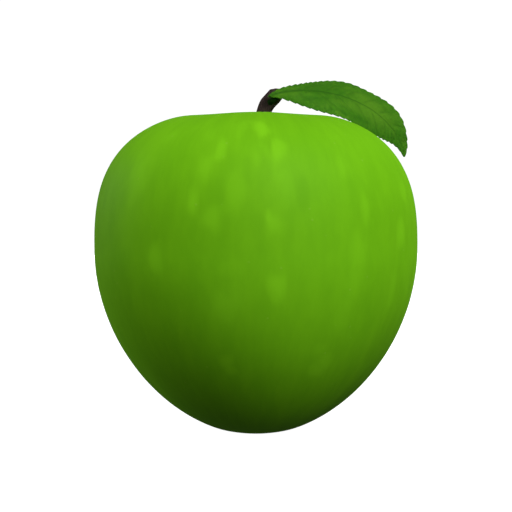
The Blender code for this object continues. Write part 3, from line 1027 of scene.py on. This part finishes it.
def blade_grid():
    """Upper and lower points, and for each the leaf's own coordinates and its vein strength."""
    share = np.linspace(0, 1, TEETH * ROWS_PER_TOOTH + 1)
    midrib, heading = midrib_curve(share)
    length = np.linalg.norm(np.diff(midrib, axis=0), axis=1).sum()
    level_side = unit(np.cross(heading, [0.0, 0.0, 1.0]))
    level_up = np.cross(level_side, heading)
    roll = np.radians(smooth_through(ROLL_STATIONS, ROLL_DEGREES, share))[:, None]
    fold = np.radians(smooth_through(ROLL_STATIONS, FOLD_DEGREES, share))[:, None]
    near = smooth_through(BLADE_STATIONS, NEAR_WIDTHS, share)
    far = smooth_through(BLADE_STATIONS, FAR_WIDTHS, share)
    upper, lower, own, veins = [], [], [], []
    for across in blade_columns():
        side = 1 if across > 0 else -1
        size = abs(across)
        half_width = near if side == 1 else far
        tooth = tooth_reach(share) * TOOTH_DEPTH * np.minimum(half_width / FULL_TOOTH_WIDTH, 1)
        turn = roll + fold * math.sin(across * math.pi / 2)
        towards = level_side * np.cos(turn) - level_up * np.sin(turn)
        normal = np.cross(towards, heading)
        reach = (half_width * size + tooth * size ** TOOTH_FADING) * side
        ripple = np.sin(2 * math.pi * EDGE_WAVES * share + side) * np.sin(math.pi * share)
        wave = EDGE_WAVE * size ** 2 * ripple
        groove = MIDRIB_GROOVE * hump(reach, MIDRIB_SPREAD)
        ridge = MIDRIB_RIDGE * hump(reach, MIDRIB_SPREAD) * (1 - share)
        off_vein, bulge = vein_pattern(share, reach, length)
        inner = np.clip((np.abs(reach) - VEIN_START) / VEIN_FADE_IN, 0, 1) * (1 - size ** 3)
        side_vein = hump(off_vein, VEIN_SPREAD) * inner
        puff = PUFF_HEIGHT * bulge * inner - VEIN_DEPTH * side_vein
        drop = BLADE_ARCH * half_width * size ** 2 + groove - wave - puff
        half = (EDGE_THICKNESS + (BLADE_THICKNESS - EDGE_THICKNESS) * (1 - size ** 4)) / 2
        below = half + ridge + VEIN_DEPTH_BELOW * side_vein
        centre = midrib + towards * reach[:, None] - normal * drop[:, None]
        upper.append(centre + normal * half)
        lower.append(centre - normal * below[:, None])
        own.append(np.stack([share * length, reach], axis=-1))
        # The midrib's line: drawn dark on the upper face as painted shade of its groove, and pale
        # below as the midrib's own colour.
        midrib_line_and_shade = hump(reach, MIDRIB_LINE * (MIDRIB_LINE_START - share))
        outer_vein = SIDE_VEIN_STRENGTH * side_vein * (1 - SIDE_VEIN_FADING * size)
        veins.append(np.maximum(midrib_line_and_shade, outer_vein))
    return [np.stack(grid, axis=1) for grid in (upper, lower, own, veins)]


# %% The blade as one closed sheet
SHARP_ANGLE = math.radians(60)


def closed_sheet(upper, lower):
    """Points and faces of a closed sheet from two grids of points."""
    rows, columns = upper.shape[:2]
    points = np.concatenate([upper.reshape(-1, 3), lower.reshape(-1, 3)])
    under = rows * columns
    faces = []
    for row in range(rows - 1):
        for column in range(columns - 1):
            a = row * columns + column
            b, c, d = a + 1, a + columns + 1, a + columns
            faces += [(a, b, c, d), (a + under, d + under, c + under, b + under)]
    around = list(range(columns))
    around += [row * columns + columns - 1 for row in range(1, rows)]
    around += [(rows - 1) * columns + column for column in range(columns - 2, -1, -1)]
    around += [row * columns for row in range(rows - 2, 0, -1)]
    for here, beside in zip(around, around[1:] + around[:1]):
        faces.append((beside, here, here + under, beside + under))
    return points, faces


def make_sheet(name, points, faces, material):
    mesh = bpy.data.meshes.new(name)
    mesh.from_pydata(points.tolist(), [], faces)
    mesh.validate()
    mesh.shade_smooth()
    mesh.set_sharp_from_angle(angle=SHARP_ANGLE)
    mesh.materials.append(material)
    return new_object(name, mesh)


# %% [markdown]
# ## The leaf's finish
#
# A healthy leaf is deep green and slightly waxy above, paler and duller below. Its colour is
# mottled, with yellower areas between the veins, and a net of tiny veins roughens both faces.
# On the upper face the veins and the net are drawn darker, and the midrib's dark line there is
# painted shade of its groove.
# The mesh carries its vein strength and its own flat coordinates, so the finish follows
# the leaf as it bends.

# %% Colours of the leaf, in linear light
LEAF_DEEP = (0.046, 0.200, 0.0080)
LEAF_GREEN = (0.070, 0.265, 0.0100)
LEAF_YELLOW = (0.120, 0.335, 0.0160)
# The upper face's vein colour: the veins' own colour, and along the midrib painted shade of its
# groove.
LEAF_VEIN_AND_GROOVE_SHADE = (0.030, 0.135, 0.0070)
LEAF_UNDER = (0.180, 0.340, 0.0950)
LEAF_UNDER_VEIN = (0.270, 0.430, 0.1300)
# Scales for the leaf's own coordinates, whose unit is 10 mm
LEAF_PLANE_UNIT = 10 * MM
LEAF_MOTTLE_SCALE = 9.0
LEAF_WARM_SCALE = 5.0
LEAF_WARM_LIMITS = (0.48, 0.72)
NET_SCALE = 42.0
NET_LINE = (0.0, 0.12)
NET_DEPTH = 0.05 * MM
WARM_SHARE = 0.45
NET_SHARE = 0.12
VEIN_AND_GROOVE_SHADE_SHARE = 0.75
NET_SHARE_BELOW = 0.2
VEIN_SHARE_BELOW = 0.8


# %% The leaf as a material
def make_leaf_finish():
    material, graph = new_finish("leaf_green")
    own = graph.node("ShaderNodeUVMap", {"uv_map": "leaf_plane"})
    vein = graph.attribute("vein")
    below = graph.attribute("below")
    tone = graph.attribute("leaf_tone")
    mottle = graph.mottling(own, LEAF_MOTTLE_SCALE, detail=4.0, roughness=0.6, limits=SOFT_LIMITS)
    warm = graph.mottling(own, LEAF_WARM_SCALE, detail=2.0, limits=LEAF_WARM_LIMITS)
    values = {"Vector": own, "Scale": NET_SCALE}
    off_line = graph.node("ShaderNodeTexVoronoi", {"feature": "DISTANCE_TO_EDGE"}, values)
    net = graph.smooth(off_line, *NET_LINE)
    colour = mix_colours(graph, mottle, LEAF_DEEP, LEAF_GREEN)
    colour = mix_colours(graph, warm * WARM_SHARE, colour, LEAF_YELLOW)
    colour = mix_colours(graph, positive(graph, tone), colour, LEAF_YELLOW)
    colour = mix_colours(graph, positive(graph, -tone), colour, LEAF_DEEP)
    colour = mix_colours(graph, (1 - net) * NET_SHARE, colour, LEAF_VEIN_AND_GROOVE_SHADE)
    # Veins drawn darker on the upper face: the midrib's dark line is painted shade of its groove.
    colour = mix_colours(graph, vein * VEIN_AND_GROOVE_SHADE_SHARE, colour, LEAF_VEIN_AND_GROOVE_SHADE)
    under = mix_colours(graph, vein * VEIN_SHARE_BELOW, LEAF_UNDER, LEAF_UNDER_VEIN)
    under = mix_colours(graph, (1 - net) * NET_SHARE_BELOW, under, LEAF_UNDER_VEIN)
    end_finish(graph, {
        "Base Color": mix_colours(graph, below, colour, under),
        "Roughness": 0.55 + 0.16 * below + 0.08 * mottle,
        "Specular IOR Level": 0.06,
        "Normal": raised_by(graph, net, NET_DEPTH),
    })
    return material


# %% Lighter and deeper areas of the blade
# Distance from the base along the midrib and distance towards the near edge, then the half-sizes
# along and across, all in millimetres, and the tone from -1 to 1
LEAF_PATCHES = (
    (2.5, 0.5, 3.0, 0.9, 0.60),
    (26.5, -2.2, 4.6, 2.6, 0.70),
    (22.0, 2.6, 4.0, 2.2, 0.55),
    (29.0, 1.6, 4.5, 2.6, 0.75),
    (33.5, -0.8, 4.0, 2.4, 0.50),
    (7.5, 1.2, 3.0, 1.6, 0.35),
    (13.0, 0.8, 3.0, 2.0, -0.30),
    (15.5, 3.8, 3.4, 2.0, 0.25),
    (13.5, -1.6, 4.5, 1.6, -0.60),
    (36.5, -4.6, 3.0, 1.6, 0.35),
    (40.5, -2.6, 3.0, 2.2, -0.40),
    (40.0, 1.4, 3.0, 2.0, -0.40),
    (26.0, 5.6, 6.0, 1.2, -0.25),
)


def leaf_tone_at(own):
    """The tone of the blade at its own coordinates."""
    tone = np.zeros(own.shape[:2])
    for along, across, half_along, half_across, strength in LEAF_PATCHES:
        off_along = (own[..., 0] / MM - along) / half_along
        off_across = (own[..., 1] / MM - across) / half_across
        tone += strength * np.exp(-(off_along ** 2 + off_across ** 2))
    return np.clip(tone, -1, 1).ravel()


# %% Make the blade
upper, lower, own, veins = blade_grid()
upper[..., 2] += WAIST_LEVEL
lower[..., 2] += WAIST_LEVEL
blade_points, blade_faces = closed_sheet(upper, lower)
leaf_blade = make_sheet("leaf_blade", blade_points, blade_faces, make_leaf_finish())
add_attribute(leaf_blade, "vein", np.tile(veins.ravel(), 2))
add_attribute(leaf_blade, "below", np.repeat([0.0, 1.0], veins.size))
add_attribute(leaf_blade, "leaf_tone", np.tile(leaf_tone_at(own), 2))
plane = np.tile(own.reshape(-1, 2), (2, 1)) / LEAF_PLANE_UNIT
corners = np.empty(len(leaf_blade.data.loops), dtype=np.int32)
leaf_blade.data.loops.foreach_get("vertex_index", corners)
leaf_plane = leaf_blade.data.uv_layers.new(name="leaf_plane")
leaf_plane.data.foreach_set("uv", plane[corners].astype(np.float32).ravel())
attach(leaf_blade, "root")
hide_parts("leaf")
report_piece(leaf_blade, "leaf")


# %% [markdown]
# ## The leaf's stalk
#
# A short round stalk joins the blade to the stem just below its knob. Its colour is a much deeper
# green than the blade: painted shade of the blade above it. It takes the same slot, because both
# are the leaf. The solid stops a little short of the stem, because solids may not touch, but on
# the real apple the stalk grows out of the wood: here it starts inside the stem and runs on
# behind the blade, where its thin end lies inside the midrib.

# %% Path and sizes of the stalk
STALK_PATH = mm(
    (3.40, -0.90, 36.1),
    (3.60, -1.90, 36.3),
    (4.00, -2.40, 36.6),
    (4.80, -2.60, 37.05),
    (5.90, -2.60, 37.6),
    (7.60, -2.30, 38.2),
    (9.20, -1.90, 38.5),
)
STALK_RADII = mm(0.85, 0.78, 0.72, 0.66, 0.55, 0.36, 0.14)
STALK = {
    "Sides": 32,
    "Rings": 60,
    "End Rings": 6,
    "Rib": 0.03,
    "Bark": 0.06,
    "Bark Round": 1.5,
    "Bark Along": 5.0,
    "End Round": 0.20 * MM,
}
# Both stalk colours are far darker than the stalk's own green: painted shade of the blade above it.
STALK_PAINTED_SHADE_DARK = (0.006, 0.022, 0.0030)
STALK_PAINTED_SHADE_GREEN = (0.013, 0.044, 0.0060)
STALK_FIBRES = 1400.0
STALK_FIBRE_DEPTH = 0.04 * MM


def make_stalk_finish():
    material, graph = new_finish("leaf_stalk_green")
    place = graph.node("ShaderNodeTexCoord", output="Object")
    fibre = graph.mottling(place, STALK_FIBRES)
    end_finish(graph, {
        # The stalk's colour is painted shade: very deep green, as if it lay in the blade's shadow.
        "Base Color": mix_colours(graph, fibre, STALK_PAINTED_SHADE_DARK, STALK_PAINTED_SHADE_GREEN),
        "Roughness": 0.75,
        "Specular IOR Level": 0.05,
        "Normal": raised_by(graph, fibre, STALK_FIBRE_DEPTH),
    })
    return material


# %% Make the stalk
stalk_tree = PieceTree("leaf_stalk", STALK)
stalk_tree.close(rod_nodes(stalk_tree), make_stalk_finish())
stalk_path = make_path("stalk_path", raised(STALK_PATH, WAIST_LEVEL), STALK_RADII)
leaf_stalk = stalk_tree.make("leaf_stalk", stalk_path)
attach(leaf_stalk, "root")
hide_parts("leaf")
report_piece(leaf_stalk, "leaf")


# %% [markdown]
# ## The dried calyx
#
# Below, in the basin, sits what is left of the flower: a small cup, five dried sepals that
# curl outwards, and a tuft of stamens. The sepals and stamens repeat around the axis, which is
# what instances are for: one sepal is bent along its path, then copied five times, each
# turned and sized a little differently by a seeded draw.

# %% Sizes of the calyx
SEPAL_PATH = mm(
    (1.35, 0.0, -1.2),
    (2.15, 0.0, -2.4),
    (1.85, 0.0, -3.5),
    (2.40, 0.0, -4.3),
    (3.30, 0.0, -4.55),
)
SEPAL_HALF_WIDTHS = mm(0.90, 1.10, 0.88, 0.58, 0.12)
BASIN_TOP = WAIST_LEVEL - FRUIT["Base Height"] + FRUIT["Basin Depth"]
CALYX = {
    "Sepals": 5,
    "Sepal Rows": 26,
    "Sepal Columns": 13,
    "Sepal Thickness": 0.34 * MM,
    "Sepal Cupping": 0.35,
    "Sepal Crinkle": 0.5 * MM,
    "Stamens": 16,
    "Stamen Ring": 0.85 * MM,
    "Stamen Radius": 0.11 * MM,
    "Stamen Length": 2.3 * MM,
    "Stamen Spread": 0.35,
    "Stamen Head": 1.6,
    "Cup Radius": 2.0 * MM,
    "Cup Height": 1.3 * MM,
    "Cup Hollow": 0.85,
    "Lobe Turn": FRUIT["Lobe Turn"],
}
INNER_DROP = 0.9 * MM
CRINKLES_ALONG = 3
CRINKLE_SCALE = 2.0
EDGE_THINNING = 0.6
COPY_SIZES = (0.90, 1.02)
CALYX_SEED = 4


# %% One sepal
def sepal_nodes(tree):
    """One sepal: a thin box bent along the carried path."""
    slab = tree.node("GeometryNodeMeshCube", values={
        "Size": (1.0, 1.0, 1.0),
        "Vertices X": tree.size("Sepal Rows"),
        "Vertices Y": tree.size("Sepal Columns"),
        "Vertices Z": 2,
    })
    x, y, z = tree.coordinates()
    share = within_one(tree, x + 0.5)
    centre, half_width, _, side, other = sampled_path(tree, tree.carried(), share)
    across = y * 2
    folds = tree.vector(share * CRINKLES_ALONG, across, 0.0)
    crinkle = tree.noise(folds, CRINKLE_SCALE) - 0.5
    cupped = tree.size("Sepal Cupping") * half_width * across * across
    thickness = z * tree.size("Sepal Thickness") * (1 - EDGE_THINNING * across * across)
    lift = thickness - cupped + crinkle * tree.size("Sepal Crinkle")
    sideways = tree.scaled(side, half_width * across)
    return tree.move(slab, tree.added(centre, sideways, tree.scaled(other, lift)))


# %% Copies round the axis
def random_number(tree, low, high, seed):
    """A number for each copy, drawn between two limits."""
    values = {2: low, 3: high, 8: seed}
    return tree.node("FunctionNodeRandomValue", {"data_type": "FLOAT"}, values, output=1)


def turned_copies(tree, piece, count, first_turn, spread, tilt, seed):
    """Copies of a piece turned evenly round the axis, each a little different."""
    spots = tree.node("GeometryNodePoints", values={"Count": count})
    index = tree.node("GeometryNodeInputIndex")
    jitter = random_number(tree, -spread, spread, seed)
    lean = random_number(tree, -tilt, tilt, seed + 1)
    size = random_number(tree, *COPY_SIZES, seed + 2)
    turn = index * (2 * math.pi) / count + first_turn + jitter
    return tree.node("GeometryNodeInstanceOnPoints", values={
        "Points": spots,
        "Instance": piece,
        "Rotation": tree.node("FunctionNodeEulerToRotation", values=[tree.vector(lean, lean, turn)]),
        "Scale": tree.vector(size, size, size),
    })


# %% Stamens and cup
HEAD_PLACE = 0.93
HEAD_LENGTH = 0.07
HOLLOW_SPREAD = 0.62


def stamen_nodes(tree):
    """One stamen: a thin thread with a small dried head, leaning outwards."""
    length = tree.size("Stamen Length")
    thread = tree.node("GeometryNodeMeshCylinder", values={
        "Vertices": 7,
        "Side Segments": 8,
        "Radius": tree.size("Stamen Radius"),
        "Depth": length,
    })
    x, y, z = tree.coordinates()
    down = 0.5 - z / length
    head = 1 + tree.size("Stamen Head") * tree.hump(down - HEAD_PLACE, HEAD_LENGTH)
    outward = tree.size("Stamen Ring") * (1 + tree.size("Stamen Spread") * down * down)
    return tree.move(thread, tree.vector(x * head + outward, y * head, z - length / 2))


def cup_nodes(tree):
    """The cup: a flattened ball, hollowed from below."""
    values = {"Segments": 48, "Rings": 24, "Radius": 1.0}
    ball = tree.node("GeometryNodeMeshUVSphere", values=values)
    x, y, z = tree.coordinates()
    hollow = tree.hump((x * x + y * y) ** 0.5, HOLLOW_SPREAD) * tree.math("LESS_THAN", z, 0.0)
    height = (z + hollow * tree.size("Cup Hollow")) * tree.size("Cup Height")
    wide = tree.size("Cup Radius")
    return tree.move(ball, tree.vector(x * wide, y * wide, height))


# %% The calyx put together
def calyx_nodes(tree):
    """Cup, sepals and stamens, set in the basin."""
    sepals = turned_copies(
        tree,
        sepal_nodes(tree),
        count=tree.size("Sepals"),
        first_turn=tree.size("Lobe Turn"),
        spread=0.09,
        tilt=0.05,
        seed=CALYX_SEED,
    )
    stamens = turned_copies(
        tree,
        stamen_nodes(tree),
        count=tree.size("Stamens"),
        first_turn=0.3,
        spread=0.12,
        tilt=0.14,
        seed=CALYX_SEED + 5,
    )
    stamens = tree.shift(stamens, -INNER_DROP)
    cup = tree.shift(cup_nodes(tree), -INNER_DROP)
    joined = tree.tree.nodes.new("GeometryNodeJoinGeometry")
    for part in (sepals, stamens, cup):
        tree.tree.links.new(part.output, joined.inputs[0])
    return tree.shift(Socket(tree, joined.outputs[0]), BASIN_TOP)


# %% [markdown]
# ## The calyx's finish
#
# What is left of the flower is dry and dull: brown in darker and paler areas, with some grey
# fuzz. Two noises give the areas and the fuzz, and a very rough surface takes the shine off.

# %% Make the calyx
DRY_DARK = (0.045, 0.028, 0.014)
DRY_PALE = (0.150, 0.110, 0.060)
DRY_GREY = (0.200, 0.180, 0.120)
FUZZ_SCALE = 2600.0
FUZZ_SHARE = 0.4
FUZZ_DEPTH = 0.05 * MM
DRY_AREA_SCALE = 700.0


def make_calyx_finish():
    material, graph = new_finish("dried_calyx")
    place = graph.node("ShaderNodeTexCoord", output="Object")
    fuzz = graph.mottling(place, FUZZ_SCALE, detail=4.0, roughness=0.65)
    colour = mix_colours(graph, graph.mottling(place, DRY_AREA_SCALE), DRY_DARK, DRY_PALE)
    end_finish(graph, {
        "Base Color": mix_colours(graph, fuzz * FUZZ_SHARE, colour, DRY_GREY),
        "Roughness": 0.85 + 0.10 * fuzz,
        "Specular IOR Level": 0.2,
        "Normal": raised_by(graph, fuzz, FUZZ_DEPTH),
    })
    return material


calyx_tree = PieceTree("flower_remains", CALYX)
calyx_tree.close(calyx_nodes(calyx_tree), make_calyx_finish())
sepal_path = make_path("sepal_path", SEPAL_PATH, SEPAL_HALF_WIDTHS)
flower_remains = calyx_tree.make("flower_remains", sepal_path)
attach(flower_remains, "root")
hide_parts("calyx")
report_piece(flower_remains, "calyx")


# %% [markdown]
# ## Floor, camera and light
#
# The floor is a wide, pale, shallow bowl, so it has no horizon and looks the same from every
# side. It is as white as in the photo by its own even glow, but it throws no light back at the
# apple, because the underside should fall into shade. The camera stands where the photo was
# taken from: three degrees above level with a lens of 70 mm. The light is soft: a large lamp
# above on the right in front, a weaker one on the left, one behind on each side for the edges,
# and one low behind the apple, so that its back isn't dark either.

# %% A pale floor without a horizon
FLOOR_RADIUS = 1.2
FLOOR_WALL = 1.6
FLOOR_BEND = 0.6
BEND_STEPS = 12
FLOOR_SIDES = 96


def floor_profile():
    """Radius and height of each ring of the floor, from the flat part up the wall."""
    profile = [(FLOOR_RADIUS, 0.0)]
    for step in range(1, BEND_STEPS + 1):
        turn = math.pi / 2 * step / BEND_STEPS
        radius = FLOOR_RADIUS + FLOOR_BEND * math.sin(turn)
        profile.append((radius, FLOOR_BEND * (1 - math.cos(turn))))
    return profile + [(FLOOR_RADIUS + FLOOR_BEND, FLOOR_WALL)]


def floor_finish():
    material, graph = new_finish("pale_floor")
    end_finish(graph, {
        "Base Color": (0.45, 0.45, 0.45, 1.0),
        "Roughness": 0.9,
        "Specular IOR Level": 0.0,
        "Emission Color": (1.0, 1.0, 1.0, 1.0),
        "Emission Strength": 1.0,
    })
    return material


def make_floor():
    profile = floor_profile()
    points = [(0.0, 0.0, 0.0)]
    for radius, height in profile:
        for side in range(FLOOR_SIDES):
            turn = 2 * math.pi * side / FLOOR_SIDES
            points.append((radius * math.cos(turn), radius * math.sin(turn), height))
    faces = [(0, 1 + side, 1 + (side + 1) % FLOOR_SIDES) for side in range(FLOOR_SIDES)]
    for ring in range(len(profile) - 1):
        for side in range(FLOOR_SIDES):
            here = 1 + ring * FLOOR_SIDES + side
            beside = 1 + ring * FLOOR_SIDES + (side + 1) % FLOOR_SIDES
            faces.append((here, here + FLOOR_SIDES, beside + FLOOR_SIDES, beside))
    mesh = bpy.data.meshes.new("floor")
    mesh.from_pydata(points, [], faces)
    mesh.shade_smooth()
    mesh.materials.append(floor_finish())
    floor = new_object("floor", mesh)
    floor.visible_diffuse = False
    floor.visible_glossy = False
    return floor


make_floor()


# %% Camera
CAMERA_LENS = 70.0
CAMERA_ELEVATION = math.radians(3)
CAMERA_DISTANCE = 0.2439
CAMERA_AIM = Vector((0.0, 0.0, WAIST_LEVEL - 1.09 * MM))
SENSOR_WIDTH = 36.0
CLIP_START = 0.01
CLIP_END = 20.0


def direction(azimuth, elevation):
    """Unit vector towards a place that is seen at these angles; azimuth 0 is the front."""
    level = math.cos(elevation)
    return Vector((level * math.sin(azimuth), -level * math.cos(azimuth), math.sin(elevation)))


camera_data = bpy.data.cameras.new("camera")
camera_data.lens = CAMERA_LENS
camera_data.sensor_width = SENSOR_WIDTH
camera_data.clip_start = CLIP_START
camera_data.clip_end = CLIP_END
camera = new_object("camera", camera_data)
camera_back = direction(0.0, CAMERA_ELEVATION)
camera.location = CAMERA_AIM + camera_back * CAMERA_DISTANCE
camera.rotation_euler = (-camera_back).to_track_quat("-Z", "Y").to_euler()
bpy.context.scene.camera = camera


# %% Soft studio light
LIGHT_DISTANCE = 0.8
AMBIENT = 0.056
# Name, azimuth and elevation in degrees, side length in metres, power in watts, and whether
# the lamp is mirrored in a glossy surface
LAMPS = (
    ("key", 30, 40, 0.55, 6.4, True),
    ("left_side", -96, 16, 0.40, 1.75, False),
    ("left_rim", -118, 16, 0.30, 0.75, True),
    ("right_back", 138, 12, 0.28, 3.0, False),
    ("back", 184, 14, 0.50, 3.0, False),
)


def add_lamp(name, azimuth, elevation, side, power, mirrored):
    """A square lamp that faces the apple."""
    lamp = bpy.data.lights.new(name, "AREA")
    lamp.shape = "SQUARE"
    lamp.size = side
    lamp.energy = power
    away = direction(math.radians(azimuth), math.radians(elevation))
    holder = new_object(name, lamp)
    holder.location = CAMERA_AIM + away * LIGHT_DISTANCE
    holder.rotation_euler = away.to_track_quat("Z", "Y").to_euler()
    holder.visible_glossy = mirrored


for lamp in LAMPS:
    add_lamp(*lamp)
world = bpy.data.worlds.new("studio")
world.use_nodes = True
background = world.node_tree.nodes["Background"].inputs
background["Color"].default_value = (1.0, 1.0, 1.0, 1.0)
background["Strength"].default_value = AMBIENT
bpy.context.scene.world = world
bpy.context.scene.view_settings.view_transform = "Standard"
